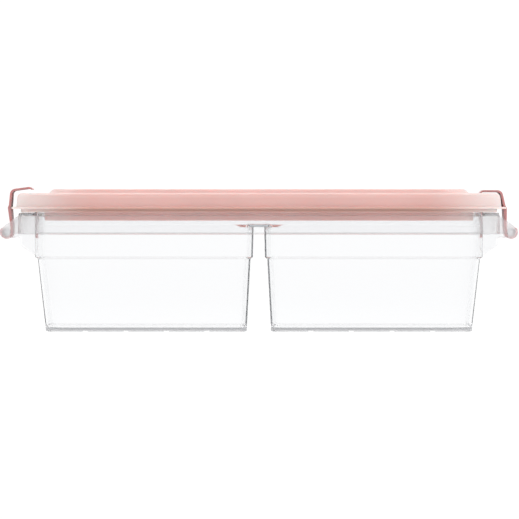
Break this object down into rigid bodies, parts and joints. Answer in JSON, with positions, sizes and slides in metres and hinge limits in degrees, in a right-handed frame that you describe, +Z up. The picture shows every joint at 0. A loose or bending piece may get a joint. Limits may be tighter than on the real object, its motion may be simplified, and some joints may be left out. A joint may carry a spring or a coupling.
{
  "type": "bento lunch box",
  "caption": "Long clear lunch box with side-by-side tapered basins, an opaque pink lid with a silicone gasket, and a clip latch hinged on a moulded bar at each end",
  "frame": {"origin": "centre of the footprint, on the surface that the box stands on", "axes": "+X along the length of the box, +Y towards the back long side, +Z up"},
  "size_m": [0.2604, 0.1344, 0.0726],
  "materials": {
    "clear_plastic": "translucent milky polypropylene, glossy outside",
    "lid_plastic": "opaque pale pink polypropylene, satin",
    "latch_plastic": "opaque dusty rose plastic, semi-gloss",
    "gasket_silicone": "off-white silicone"
  },
  "bodies": {
    "box": {"tub": "clear_plastic"},
    "cover": {"lid": "lid_plastic", "lid_gasket": "gasket_silicone"},
    "left_clip": {"left_latch": "latch_plastic"},
    "right_clip": {"right_latch": "latch_plastic"}
  },
  "joints": [
    {"name": "lid_lift", "type": "slide", "parent": "box", "child": "cover", "axis": [0, 0, 1], "range_m": [0, 0.02]},
    {"name": "left_latch_hinge", "type": "hinge", "parent": "box", "child": "left_clip", "pos_m": [-0.1269, 0, 0.0498], "axis": [0, -1, 0], "range_deg": [-7.5, 164]},
    {"name": "right_latch_hinge", "type": "hinge", "parent": "box", "child": "right_clip", "pos_m": [0.1269, 0, 0.0498], "axis": [0, 1, 0], "range_deg": [0, 172]}
  ],
  "couplings": [
    {"joint": "left_latch_hinge", "follows": "lid_lift", "rad_per_m": 143},
    {"joint": "right_latch_hinge", "follows": "lid_lift", "rad_per_m": 150}
  ]
}
